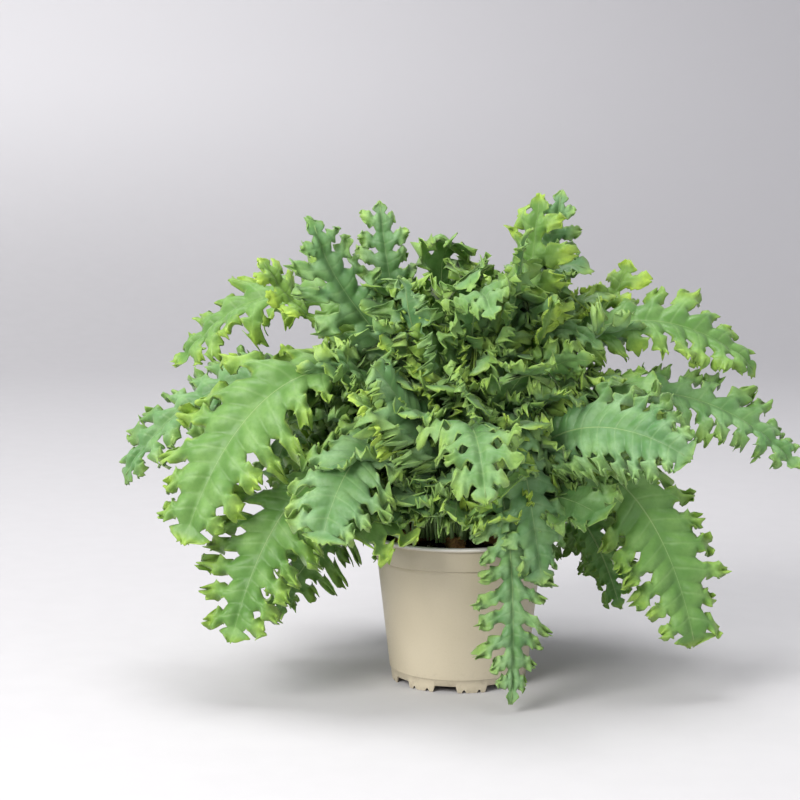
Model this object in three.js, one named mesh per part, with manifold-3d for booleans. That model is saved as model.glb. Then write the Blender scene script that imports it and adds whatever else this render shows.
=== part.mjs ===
// Potted blue star fern: a plastic nursery pot, its soil, the creeping rhizome and the fronds that grow from it.
// Millimetres, +Z up, +X to the right and -Y to the front. The origin is the centre of the pot's foot, on the
// surface that it stands on. Each frond is one solid, a stipe that carries a lobed blade.
import * as THREE from "three";
import { mergeVertices } from "three/addons/utils/BufferGeometryUtils.js";
import Module from "manifold-3d";

const wasm = await Module();
wasm.setup();

// ---- Driving dimensions -------------------------------------------------------------------------------------

const GAP = 0.3; // between pieces that touch
const FROND_CLEARANCE = 1.2; // free space kept round a frond's blade when it is placed

const POT_HEIGHT = 100;
const RIM_RADIUS = 60; // outside of the lip
const FOOT_RADIUS = 46; // outside of the wall, where it would meet the surface
const POT_WALL = 1.2;
const LIP_WIDTH = 2.6;
const LIP_HEIGHT = 2.6;
const COLLAR_HEIGHT = 14; // the band under the lip
const COLLAR_STEP = 0.8;
const SKIRT_HEIGHT = 8.5; // the band at the foot
const SKIRT_STEP = 0.6;
const FLOOR_LIFT = 5; // underside of the pot's floor above the surface
const FLOOR_THICKNESS = 1.4;
const POT_SEGMENTS = 48;

const ARCH_COUNT = 8; // wide gaps round the foot
const ARCH_WIDTH = 17;
const ARCH_HEIGHT = 4.4;
const ARCH_TURN = -103; // direction of the first arch, in degrees
const NICKS_BETWEEN_ARCHES = 2;
const NICK_WIDTH = 3;
const NICK_HEIGHT = 2;
const NICK_SPREAD = 13; // degrees between the nicks of a pair
const DRAIN_RADIUS = 4.5;
const DRAIN_CIRCLE = 33;
const CENTRE_DRAIN_RADIUS = 6;

const SOIL_BELOW_RIM = 8;
const SOIL_CROWN = 3; // the middle stands this much above the edge
const SOIL_BUMP = 0.7;

const RHIZOME_BRANCHES = 6;
const RHIZOME_RADIUS = 4.5;
const RHIZOME_REACH = 43; // from the pot's axis to a branch's growing tip
const RHIZOME_BEND = 28; // degrees that a branch turns on its way out
const RHIZOME_SIDES = 8;
const RHIZOME_RINGS = 6;
const SEATS_PER_BRANCH = 10;
const SEAT_OFFSET = 2.4; // the seats stand in two rows, this far from the branch's axis

const WISHED_POT_HEIGHT = 100; // the fronds' heights below are written for this height of pot
const WISHED_RIM_RADIUS = 60; // and their reaches for this rim; both follow the pot when it changes

const STIPE_RADIUS = 1.2;
const STIPE_RINGS = 5;
const BLADE_THICKNESS = 1.8; // at the midrib; the blade thins to its edge

// ---- Helpers ------------------------------------------------------------------------------------------------

const radians = THREE.MathUtils.degToRad;

// A repeatable number from 0 to 1 for a pair of whole numbers.
function chance(a, b) {
  const s = Math.sin(a * 127.1 + b * 311.7) * 43758.5453;
  return s - Math.floor(s);
}

// A closed geometry as a manifold-3d solid.
function solidOf(geometry) {
  const bare = new THREE.BufferGeometry().setAttribute("position", geometry.getAttribute("position").clone());
  bare.setIndex(geometry.index ? geometry.index.clone() : null);
  const merged = mergeVertices(bare, 1e-4);
  const corners = [];
  for (let i = 0; i < merged.index.count; i += 3) {
    const [a, b, c] = [0, 1, 2].map((k) => merged.index.getX(i + k));
    if (a !== b && b !== c && a !== c) corners.push(a, b, c);
  }
  const mesh = new wasm.Mesh({
    numProp: 3,
    vertProperties: new Float32Array(merged.attributes.position.array),
    triVerts: new Uint32Array(corners),
  });
  return new wasm.Manifold(mesh);
}

// A manifold-3d solid as a geometry.
function geometryOf(solid) {
  const mesh = solid.getMesh();
  const geometry = new THREE.BufferGeometry();
  geometry.setAttribute("position", new THREE.BufferAttribute(new Float32Array(mesh.vertProperties), 3));
  geometry.setIndex(new THREE.BufferAttribute(new Uint32Array(mesh.triVerts), 1));
  geometry.computeVertexNormals();
  return geometry;
}

// A profile of [radius, height] points turned about Z.
function lathe(points, segments) {
  const profile = points.map(([r, z]) => new THREE.Vector2(r, z));
  return new THREE.LatheGeometry(profile, segments).rotateX(Math.PI / 2);
}

function named(name, geometry, colour, roughness) {
  const mesh = new THREE.Mesh(
    geometry,
    new THREE.MeshStandardMaterial({ color: colour, roughness, metalness: 0, flatShading: true }),
  );
  mesh.name = name;
  return mesh;
}

// ---- Pot ----------------------------------------------------------------------------------------------------

// Outer radius of the plain tapered wall at a height.
function wallRadius(z) {
  const top = RIM_RADIUS - LIP_WIDTH;
  return FOOT_RADIUS + ((top - FOOT_RADIUS) * z) / POT_HEIGHT;
}

function potBody() {
  const collarBottom = POT_HEIGHT - LIP_HEIGHT - COLLAR_HEIGHT;
  const lipBottom = POT_HEIGHT - LIP_HEIGHT;
  const floorTop = FLOOR_LIFT + FLOOR_THICKNESS;
  const inner = (z) => wallRadius(z) - POT_WALL;
  return lathe(
    [
      [0, FLOOR_LIFT],
      [inner(FLOOR_LIFT) - SKIRT_STEP, FLOOR_LIFT],
      [inner(0) - SKIRT_STEP, 0],
      [wallRadius(0) - SKIRT_STEP, 0],
      [wallRadius(SKIRT_HEIGHT) - SKIRT_STEP, SKIRT_HEIGHT],
      [wallRadius(SKIRT_HEIGHT), SKIRT_HEIGHT + SKIRT_STEP],
      [wallRadius(collarBottom), collarBottom],
      [wallRadius(collarBottom) + COLLAR_STEP, collarBottom + COLLAR_STEP],
      [wallRadius(lipBottom) + COLLAR_STEP, lipBottom],
      [RIM_RADIUS, lipBottom + LIP_HEIGHT * 0.2],
      [RIM_RADIUS, POT_HEIGHT - LIP_HEIGHT * 0.3],
      [RIM_RADIUS - LIP_WIDTH * 0.4, POT_HEIGHT],
      [inner(POT_HEIGHT), POT_HEIGHT],
      [inner(floorTop), floorTop],
      [0, floorTop],
    ],
    POT_SEGMENTS,
  );
}

// A cutter for a gap in the foot: an outline of [across, up] points, pushed out through the wall.
function footCutter(points, turn) {
  const shape = new THREE.Shape(points.map(([across, up]) => new THREE.Vector2(across, up)));
  const depth = POT_WALL * 12;
  const cutter = new THREE.ExtrudeGeometry(shape, { depth, bevelEnabled: false });
  cutter.rotateX(Math.PI / 2).rotateZ(Math.PI / 2); // outline across Y and up Z, depth along +X
  cutter.translate(FOOT_RADIUS - depth / 2, 0, 0);
  return solidOf(cutter.rotateZ(radians(turn)));
}

function potSolid() {
  let pot = solidOf(potBody());
  const below = -1; // the cutters start under the surface
  const archTop = ARCH_WIDTH * 0.42;
  const arch = [
    [-ARCH_WIDTH / 2, below],
    [ARCH_WIDTH / 2, below],
    [archTop, ARCH_HEIGHT],
    [-archTop, ARCH_HEIGHT],
  ];
  const nick = [
    [-NICK_WIDTH / 2, below],
    [NICK_WIDTH / 2, below],
    [NICK_WIDTH / 5, NICK_HEIGHT],
    [-NICK_WIDTH / 5, NICK_HEIGHT],
  ];
  const pitch = 360 / ARCH_COUNT;
  const drain = (radius, x) =>
    solidOf(
      new THREE.CylinderGeometry(radius, radius, FLOOR_LIFT * 4, 16).rotateX(Math.PI / 2).translate(x, 0, FLOOR_LIFT),
    );
  pot = pot.subtract(drain(CENTRE_DRAIN_RADIUS, 0));
  for (let i = 0; i < ARCH_COUNT; i++) {
    const turn = ARCH_TURN + i * pitch;
    pot = pot.subtract(footCutter(arch, turn));
    pot = pot.subtract(drain(DRAIN_RADIUS, DRAIN_CIRCLE).rotate([0, 0, turn]));
    for (let k = 0; k < NICKS_BETWEEN_ARCHES; k++) {
      const aside = (k - (NICKS_BETWEEN_ARCHES - 1) / 2) * NICK_SPREAD;
      pot = pot.subtract(footCutter(nick, turn + pitch / 2 + aside));
    }
  }
  return pot;
}

// ---- Soil and rhizome -----------------------------------------------------------------------------------------

const soilRadius = (z) => wallRadius(z) - POT_WALL - GAP;
const soilEdge = POT_HEIGHT - SOIL_BELOW_RIM;

// Height of the soil's surface, without its bumps, at a distance from the pot's axis.
const soilHeight = (r) => soilEdge + SOIL_CROWN * (1 - (r / soilRadius(soilEdge)) ** 2);

function soilBody() {
  const bottom = FLOOR_LIFT + FLOOR_THICKNESS + GAP;
  const edge = soilRadius(soilEdge);
  const profile = [
    [0, bottom],
    [soilRadius(bottom), bottom],
    [edge, soilEdge],
  ];
  for (const share of [0.86, 0.62, 0.34, 0]) profile.push([edge * share, soilHeight(edge * share)]);
  const soil = lathe(profile, 30);
  const p = soil.getAttribute("position");
  for (let i = 0; i < p.count; i++) {
    const [x, y, z] = [p.getX(i), p.getY(i), p.getZ(i)];
    if (z > soilEdge + 0.1) p.setZ(i, z + SOIL_BUMP * Math.sin(x / 3.1 + 1) * Math.cos(y / 2.7));
  }
  return solidOf(soil);
}

// The line of one rhizome branch, which turns a little as it creeps outward.
function branchCurve(branch) {
  const start = (branch * 360) / RHIZOME_BRANCHES;
  const points = [0, 0.25, 0.5, 0.75, 1].map((share) => {
    const radius = RHIZOME_REACH * share;
    const turn = radians(start + RHIZOME_BEND * share);
    const z = soilHeight(radius) + SOIL_BUMP + GAP + RHIZOME_RADIUS;
    return new THREE.Vector3(radius * Math.cos(turn), radius * Math.sin(turn), z);
  });
  return new THREE.CatmullRomCurve3(points);
}

// All branches as one closed surface. Neighbouring branches meet in the upright plane halfway between them.
function rhizomeSolid() {
  const points = [];
  const corners = [];
  const half = Math.PI / RHIZOME_BRANCHES;
  const middle = branchCurve(0).getPoint(0);
  const upward = new THREE.Vector3(0, 0, 1);
  for (let b = 0; b < RHIZOME_BRANCHES; b++) {
    const curve = branchCurve(b);
    const start = 2 * half * b;
    const end = curve.getTangent(1);
    const first = points.length;
    for (let ring = 0; ring <= RHIZOME_RINGS; ring++) {
      // The last ring is narrower and lies past the end of the curve, so the growing tip is blunt.
      const isTip = ring === RHIZOME_RINGS;
      const share = isTip ? 1 : 0.3 + (0.7 * (ring - 1)) / (RHIZOME_RINGS - 2);
      const radius = isTip ? 0.7 * RHIZOME_RADIUS : RHIZOME_RADIUS;
      for (let i = 0; i < RHIZOME_SIDES; i++) {
        const turn = (2 * Math.PI * i) / RHIZOME_SIDES;
        const aside = radius * Math.round(1e6 * Math.cos(turn)) * 1e-6;
        const rise = radius * Math.sin(turn);
        if (ring === 0) {
          const plane = start + Math.sign(aside) * half;
          const out = Math.abs(aside) / Math.sin(half);
          points.push(middle.clone().add(new THREE.Vector3(out * Math.cos(plane), out * Math.sin(plane), rise)));
          continue;
        }
        const left = upward.clone().cross(curve.getTangent(share)).normalize();
        const at = curve.getPoint(share).addScaledVector(left, aside).addScaledVector(upward, rise);
        points.push(isTip ? at.addScaledVector(end, 0.7 * RHIZOME_RADIUS) : at);
      }
    }
    points.push(curve.getPoint(1).addScaledVector(end, RHIZOME_RADIUS));
    for (let ring = 0; ring <= RHIZOME_RINGS; ring++) {
      for (let i = 0; i < RHIZOME_SIDES; i++) {
        const here = first + ring * RHIZOME_SIDES + i;
        const next = first + ring * RHIZOME_SIDES + ((i + 1) % RHIZOME_SIDES);
        if (ring === RHIZOME_RINGS) corners.push(here, next, points.length - 1);
        else corners.push(here, next, here + RHIZOME_SIDES, next, next + RHIZOME_SIDES, here + RHIZOME_SIDES);
      }
    }
  }
  const geometry = new THREE.BufferGeometry().setFromPoints(points);
  geometry.setIndex(corners);
  return solidOf(geometry);
}

// The places on the rhizome where fronds stand, in two rows on each branch.
function rhizomeSeats() {
  const seats = [];
  for (let b = 0; b < RHIZOME_BRANCHES; b++) {
    const curve = branchCurve(b);
    for (let k = 0; k < SEATS_PER_BRANCH; k++) {
      const share = 0.16 + (0.84 * (k + 0.5)) / SEATS_PER_BRANCH;
      const at = curve.getPoint(share);
      const along = curve.getTangent(share);
      const side = new THREE.Vector3(-along.y, along.x, 0).normalize();
      at.addScaledVector(side, k % 2 ? SEAT_OFFSET : -SEAT_OFFSET);
      at.z += RHIZOME_RADIUS + GAP + STIPE_RADIUS / 3;
      seats.push(at);
    }
  }
  return seats;
}

// ---- Fronds -------------------------------------------------------------------------------------------------

// A frond's wish: azimuth in degrees (0 to the right, -90 to the front), reach of its tip from the pot's axis,
// middle and tip heights, half-width of the blade, lobe pairs, share of its length that is bare stipe, roll of the
// blade about its midrib in degrees, and sway, the sideways bow of its midrib in degrees.
function wish(name, azimuth, reach, middle, tip, width, lobes, stipe = 0.36, roll = 0, sway = 0) {
  return { name, azimuth, reach, middle, tip, width, lobes, stipe, roll, sway };
}

// The fronds that give the plant its outline from the front.
const LEADING = [
  wish("frond_trailing", -72, 101, 152, 7, 25, 10, 0.3, 0, 14),
  wish("frond_front_hanging", -58, 96, 158, 78, 26, 6, 0.34, 10, -8),
  wish("frond_right_low", -24, 166, 150, 38, 36, 8, 0.34, 46, 8),
  wish("frond_right_level", -40, 172, 178, 166, 32, 10, 0.26, 58, -6),
  wish("frond_right_far", -1, 227, 194, 144, 29, 11, 0.3, 44, 4),
  wish("frond_right_under", 16, 158, 156, 62, 30, 9, 0.38, 40, 0),
  wish("frond_right_upper", 6, 204, 238, 206, 28, 9, 0.42, 46, 0),
  wish("frond_front_broad", -124, 100, 168, 222, 38, 5, 0.38, -66, 20),
  wish("frond_front_young", -124, 122, 164, 206, 20, 4, 0.55, -50, 14),
  wish("frond_left_hanging", -129, 142, 176, 118, 33, 6, 0.42, -30, 0),
  wish("frond_left_bright", -157, 194, 214, 108, 40, 7, 0.46, -44, 0),
  wish("frond_left_far", 181, 227, 206, 136, 30, 11, 0.3, -42, 0),
  wish("frond_left_upper", 168, 196, 256, 208, 29, 9, 0.4, -40, 0),
  wish("frond_left_low", -152, 168, 150, 44, 34, 8, 0.36, -44, 0),
  wish("frond_front_level", -97, 165, 184, 150, 28, 7, 0.3, 0, 0),
  wish("frond_crest_left", 172, 54, 214, 322, 22, 9, 0.42, -70, 10),
  wish("frond_crest_middle", -16, 54, 210, 327, 30, 6, 0.42, 56, 26),
  wish("frond_crest_right", 12, 72, 214, 324, 22, 9, 0.42, 70, 12),
  wish("frond_crest_far_left", 194, 106, 226, 312, 28, 7, 0.44, -60, -18),
];

// Thin-stalked young leaves that stand clear of the rest.
const YOUNG = [
  wish("young_leaf_right", 8, 124, 206, 280, 16, 2, 0.82, 40, 0),
  wish("young_leaf_middle", -40, 76, 196, 262, 16, 2, 0.8, 20, 0),
  wish("young_leaf_left", 186, 132, 214, 286, 17, 3, 0.78, -40, 0),
];

// Fronds that fill the clump, in tiers: how many, the azimuths they span, and the tier's usual size.
const TIERS = [
  { name: "frond_apron", count: 6, from: -140, to: -40, reach: 80, middle: 152, tip: 140, width: 26, lobes: 6 },
  { name: "frond_crown", count: 4, from: -120, to: 110, reach: 66, middle: 204, tip: 284, width: 24, lobes: 7 },
  { name: "frond_shoulder", count: 5, from: -145, to: 110, reach: 122, middle: 232, tip: 232, width: 29, lobes: 8 },
  { name: "frond_outer", count: 5, from: 40, to: 150, reach: 166, middle: 200, tip: 138, width: 31, lobes: 9 },
  { name: "frond_mantle", count: 6, from: -40, to: 200, reach: 108, middle: 180, tip: 160, width: 29, lobes: 7 },
  { name: "frond_skirt", count: 6, from: 38, to: 150, reach: 140, middle: 142, tip: 52, width: 30, lobes: 8 },
  { name: "frond_rim", count: 3, from: 50, to: 190, reach: 78, middle: 136, tip: 120, width: 22, lobes: 5 },
];
const FACE_TURN = 46; // roll of a blade that points sideways, which shows its face to the front or to the back

function tierWishes(tier, t) {
  return Array.from({ length: tier.count }, (_, i) => {
    const vary = (k, by) => 1 + by * (2 * chance(11 * t + i, k) - 1);
    const azimuth = tier.from + ((tier.to - tier.from) * i) / (tier.count - 1) + 8 * (2 * chance(t, i) - 1);
    const nearSide = Math.sin(radians(azimuth)) < 0.4 ? 1 : -1;
    return wish(
      tier.name + "_" + (i + 1),
      azimuth,
      tier.reach * vary(1, 0.08),
      tier.middle * vary(2, 0.05),
      tier.tip * vary(3, 0.08),
      tier.width * vary(4, 0.12),
      tier.lobes,
      tier.middle < 150 ? 0.26 : 0.33,
      FACE_TURN * nearSide * Math.cos(radians(azimuth)),
      30 * (chance(i, 7 + t) - 0.5),
    );
  });
}

// The midrib as a curve from a seat on the rhizome to the tip, turned and lifted by a nudge.
function spineOf(frond, seat, turn, lift) {
  const azimuth = radians(frond.azimuth + turn);
  const aside = radians(frond.azimuth + turn + frond.sway);
  const tip = new THREE.Vector3(frond.reach * Math.cos(azimuth), frond.reach * Math.sin(azimuth), frond.tip + lift / 2);
  // The height of both handles that puts the curve's middle at the wished height.
  const handle = (frond.middle + lift - (seat.z + tip.z) / 8) / 0.75;
  const out = new THREE.Vector3(tip.x - seat.x, tip.y - seat.y, 0);
  const bowed = new THREE.Vector3(frond.reach * Math.cos(aside) - seat.x, frond.reach * Math.sin(aside) - seat.y, 0);
  const rise = new THREE.Vector3(seat.x, seat.y, handle).addScaledVector(out, 0.1);
  const fall = new THREE.Vector3(seat.x, seat.y, handle).addScaledVector(bowed, 0.72);
  return new THREE.CubicBezierCurve3(seat, rise, fall, tip);
}

// Half-width of the blade from its base, 0, to its tip, 1, as a share of the widest.
const bladeShape = (u) => 0.56 + 2.22 * u - 2.6 * u * u;

// The blade's rings: each is a place along the spine and how far its two edges reach out.
function ringsOf(frond) {
  const rings = [];
  for (let i = 0; i < STIPE_RINGS; i++) rings.push({ at: (frond.stipe * i) / STIPE_RINGS, edge: 0, lobe: -1 });
  const pitch = 1 / (frond.lobes + 0.6);
  for (let i = 0; i < frond.lobes; i++) {
    const widest = frond.width * bladeShape((i + 0.5) * pitch);
    rings.push({ at: frond.stipe + (1 - frond.stipe) * i * pitch, edge: JOINED_SHARE * widest, lobe: -1 });
    rings.push({ at: frond.stipe + (1 - frond.stipe) * (i + 0.5) * pitch, edge: widest, lobe: i });
  }
  return rings;
}

const JOINED_SHARE = 0.4; // of the half-width, from the midrib to the bottom of the gap between two lobes
const LOBE_SWEEP = 0.42; // how far a lobe's tip leans towards the frond's tip, as a share of its length
const LOBE_DROOP = 0.16; // how far it hangs below the midrib
const LOBE_RUFFLE = 0.12; // how far neighbouring lobes part, above and below

// A frond as a loft of four-point rings along its spine: top, right edge, bottom and left edge, and a point at its tip.
function frondGeometry(frond, spine, grown = 0) {
  const points = [];
  for (const ring of ringsOf(frond)) {
    const centre = spine.getPointAt(ring.at);
    const along = spine.getTangentAt(ring.at);
    const azimuth = radians(frond.azimuth);
    const side = new THREE.Vector3(-Math.sin(azimuth), Math.cos(azimuth), 0);
    side.addScaledVector(along, -side.dot(along)).normalize();
    const up = new THREE.Vector3().crossVectors(along, side);
    const onBlade = THREE.MathUtils.smoothstep(ring.at, frond.stipe * 0.5, frond.stipe + 0.1);
    const roll = radians(frond.roll) * onBlade;
    side.applyAxisAngle(along, roll);
    up.applyAxisAngle(along, roll);
    const half = (ring.at < frond.stipe ? STIPE_RADIUS : BLADE_THICKNESS / 2) * (1 - 0.4 * ring.at) + grown / 2;
    const reach = STIPE_RADIUS + ring.edge + grown;
    const wave = ring.lobe < 0 ? 0 : LOBE_RUFFLE * (ring.lobe % 2 ? 1 : -1);
    const edge = (sign) =>
      centre
        .clone()
        .addScaledVector(side, sign * reach)
        .addScaledVector(along, LOBE_SWEEP * ring.edge)
        .addScaledVector(up, (sign * wave - LOBE_DROOP) * ring.edge);
    points.push(centre.clone().addScaledVector(up, half), edge(-1), centre.clone().addScaledVector(up, -half), edge(1));
  }
  const rings = points.length / 4;
  points.push(spine.getPoint(1));
  const faces = [0, 2, 1, 0, 3, 2];
  for (let r = 0; r < rings - 1; r++)
    for (let k = 0; k < 4; k++) {
      const [a, b] = [4 * r + k, 4 * r + ((k + 1) % 4)];
      // The diagonal mirrors from one side of the blade to the other.
      if (k % 2) faces.push(a, b, a + 4, b, b + 4, a + 4);
      else faces.push(a, b, b + 4, a, b + 4, a + 4);
    }
  for (let k = 0; k < 4; k++) faces.push(4 * (rings - 1) + k, 4 * (rings - 1) + ((k + 1) % 4), 4 * rings);
  const geometry = new THREE.BufferGeometry().setFromPoints(points);
  geometry.setIndex(faces);
  geometry.computeVertexNormals();
  return geometry;
}

// The nudges that a frond tries until it is clear of everything, as neighbours push each other aside when they grow.
// The least effort comes first: turned about the pot's axis, lifted, rolled, smaller, or from a seat further along.
const effort = (n) =>
  n.seat * 0.7 + (1 - n.shrink) * 15 + Math.abs(n.lift) / 12 + Math.abs(n.turn) / 5 + Math.abs(n.roll) / 14;

function nudges(seats, shrinks, lifts, turns, rolls) {
  const all = [];
  for (const seat of seats)
    for (const shrink of shrinks)
      for (const lift of lifts)
        for (const turn of turns) for (const roll of rolls) all.push({ seat, shrink, lift, turn, roll });
  return all.sort((a, b) => effort(a) - effort(b));
}

const NUDGES = [
  ...nudges(
    [0, 1, 3],
    [1, 0.85, 0.7, 0.55, 0.4],
    [0, 9, -9, 20, -20, 34, -34],
    [0, 5, -5, 11, -11, 19, -19, 28, -28],
    [0, 16, -16],
  ),
  ...nudges([0, 2, 5, 9], [0.7, 0.5, 0.35], [0, 24, -24, 48], [42, -42, 66, -66, 95, -95, 130, -130, 180], [0, 30, -30]),
  ...nudges(
    [0, 1, 3, 4, 6, 8, 11, 14],
    [0.6, 0.35, 0.2],
    [0, 16, -16, 32, -48, 70],
    [0, 15, -15, 36, -36, 54, -54, 78, -78, 110, -110, 150, -150],
    [0, 45, -45, 90],
  ),
];

function boxesMeet(a, b) {
  const [p, q] = [a.boundingBox(), b.boundingBox()];
  return [0, 1, 2].every((i) => p.min[i] < q.max[i] && q.min[i] < p.max[i]);
}

const overlaps = (a, b) => boxesMeet(a, b) && a.intersect(b).volume() > 1e-6;

// ---- Assembly -----------------------------------------------------------------------------------------------

const pot = potSolid();
const rhizome = rhizomeSolid();
const soil = soilBody();

const fern = new THREE.Group();
fern.add(named("pot", geometryOf(pot), 0xb5a88c, 0.45));
fern.add(named("potting_soil", geometryOf(soil), 0x33211a, 0.95));
fern.add(named("rhizome", geometryOf(rhizome), 0x8a5a2a, 0.9));

const freeSeats = new Set(rhizomeSeats());
const grownFronds = [];

// The free seats, nearest first to where a frond would like to stand: tall ones inside, low ones outside.
function seatsNear(frond) {
  const radius = RHIZOME_REACH * THREE.MathUtils.clamp((250 - frond.middle) / 90, 0.2, 0.95);
  const azimuth = radians(frond.azimuth);
  const wanted = new THREE.Vector3(radius * Math.cos(azimuth), radius * Math.sin(azimuth), soilHeight(radius));
  return [...freeSeats].sort((a, b) => a.distanceTo(wanted) - b.distanceTo(wanted));
}

// A wish for the pot as it is. Heights below the rim keep their share of the pot's height, and those above it their
// distance from the rim. A wider rim pushes every tip outward.
function forThisPot(frond) {
  const above = POT_HEIGHT - WISHED_POT_HEIGHT;
  const follow = (z) => (z < WISHED_POT_HEIGHT ? (z * POT_HEIGHT) / WISHED_POT_HEIGHT : z + above);
  const reach = frond.reach + RIM_RADIUS - WISHED_RIM_RADIUS;
  return { ...frond, reach, middle: follow(frond.middle), tip: follow(frond.tip) };
}

function grow(wished, colour) {
  const near = seatsNear(wished);
  const frond = forThisPot(wished);
  for (const nudge of NUDGES) {
    const seat = near[Math.min(nudge.seat, near.length - 1)];
    const fitted = {
      ...frond,
      width: frond.width * nudge.shrink,
      reach: frond.reach * (0.4 + 0.6 * nudge.shrink),
      roll: frond.roll + nudge.roll,
    };
    const spine = spineOf(fitted, seat, nudge.turn, nudge.lift);
    const roomy = solidOf(frondGeometry(fitted, spine, FROND_CLEARANCE));
    if (overlaps(roomy, pot) || grownFronds.some((other) => overlaps(roomy, other))) continue;
    const solid = solidOf(frondGeometry(fitted, spine));
    if ([soil, rhizome, ...grownFronds].some((other) => overlaps(solid, other))) continue;
    freeSeats.delete(seat);
    grownFronds.push(solid);
    fern.add(named(frond.name, geometryOf(solid), colour, 0.6));
    return;
  }
  throw new Error(frond.name + " has no free place");
}

for (const frond of LEADING) grow(frond, 0x6f9a63);
for (const leaf of YOUNG) grow(leaf, 0x9cc24a);
for (const frond of TIERS.flatMap(tierWishes)) grow(frond, 0x5f8c66);

export default fern;
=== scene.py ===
"""Looks of the potted fern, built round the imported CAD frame. Metres, +Z up, -Y to the front.

Each frond's ruffled blade is grown along the rings of its CAD solid, so it stands where the CAD says.
"""

import math
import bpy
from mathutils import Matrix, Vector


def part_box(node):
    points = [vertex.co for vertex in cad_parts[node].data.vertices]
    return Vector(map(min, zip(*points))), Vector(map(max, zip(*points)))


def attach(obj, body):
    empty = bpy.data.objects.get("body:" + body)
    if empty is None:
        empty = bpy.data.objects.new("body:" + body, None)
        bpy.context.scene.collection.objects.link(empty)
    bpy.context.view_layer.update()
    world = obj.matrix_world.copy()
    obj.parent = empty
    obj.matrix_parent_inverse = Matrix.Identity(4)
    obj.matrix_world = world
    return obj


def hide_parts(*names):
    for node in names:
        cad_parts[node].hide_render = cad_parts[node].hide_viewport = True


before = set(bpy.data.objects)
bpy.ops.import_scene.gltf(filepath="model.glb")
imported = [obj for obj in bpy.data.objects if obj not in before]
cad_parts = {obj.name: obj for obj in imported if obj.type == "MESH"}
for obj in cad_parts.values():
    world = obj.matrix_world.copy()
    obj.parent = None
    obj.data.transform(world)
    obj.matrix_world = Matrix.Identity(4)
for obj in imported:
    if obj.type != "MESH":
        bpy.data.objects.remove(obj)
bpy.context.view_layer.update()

import zlib

import bmesh
import bpy
import numpy as np
from mathutils import Vector, noise

MM = 0.001
scene = bpy.context.scene


def seeded(name):
    """A random source that gives the same numbers for the same name."""
    return np.random.default_rng(zlib.crc32(name.encode()))


def smooth(low, high, v):
    """0 up to low, 1 from high on, and a soft S between them."""
    t = np.clip((v - low) / (high - low), 0, 1)
    return t * t * (3 - 2 * t)


def around(count):
    """Directions evenly spread round a full turn."""
    return np.linspace(0, 2 * math.pi, count, endpoint=False)


def scallop(v):
    """Rounded teeth with sharp notches between them, from 0 in a notch to 1."""
    return np.abs(np.sin(math.pi * v))


# ---- Camera, light and backdrop ---------------------------------------------------------------------------

# Found from the shapes of the pot's rim and foot in the photograph.
LENS, SENSOR_WIDTH = 98.1, 36
CAMERA_PLACE = (-0.040, -1.452, 0.376)
LOOKS_DOWN = 7.3  # degrees

camera_data = bpy.data.cameras.new("camera")
camera_data.lens = LENS
camera_data.sensor_width = SENSOR_WIDTH
camera = bpy.data.objects.new("camera", camera_data)
camera.location = CAMERA_PLACE
camera.rotation_euler = (math.radians(90 - LOOKS_DOWN), 0, 0)
scene.collection.objects.link(camera)
scene.camera = camera
scene.view_settings.view_transform = "Standard"


def area_light(name, place, target, size, power, colour):
    """A soft round light that faces a target."""
    data = bpy.data.lights.new(name, "AREA")
    data.shape = "DISK"
    data.size = size
    data.energy = power
    data.color = colour
    light = bpy.data.objects.new(name, data)
    light.location = place
    light.rotation_euler = (Vector(target) - Vector(place)).to_track_quat("-Z", "Y").to_euler()
    scene.collection.objects.link(light)


area_light("key", (-1.35, -1.65, 1.35), (0, 0, 0.12), 1.4, 70, (1.0, 0.985, 0.96))
area_light("fill", (1.5, -1.7, 0.9), (0, 0, 0.15), 1.6, 10, (0.96, 0.98, 1.0))
area_light("top", (-0.25, 0.1, 2.1), (0, 0, 0.1), 1.2, 30, (1.0, 1.0, 1.0))
area_light("wall", (-0.7, 1.0, 2.5), (-0.4, 3.4, 0.7), 1.5, 16, (0.98, 0.98, 1.0))

world = bpy.data.worlds.new("studio")
scene.world = world
world.use_nodes = True
background = world.node_tree.nodes["Background"]
background.inputs["Color"].default_value = (0.93, 0.94, 0.97, 1)
background.inputs["Strength"].default_value = 0.44


# ---- Materials --------------------------------------------------------------------------------------------


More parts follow.
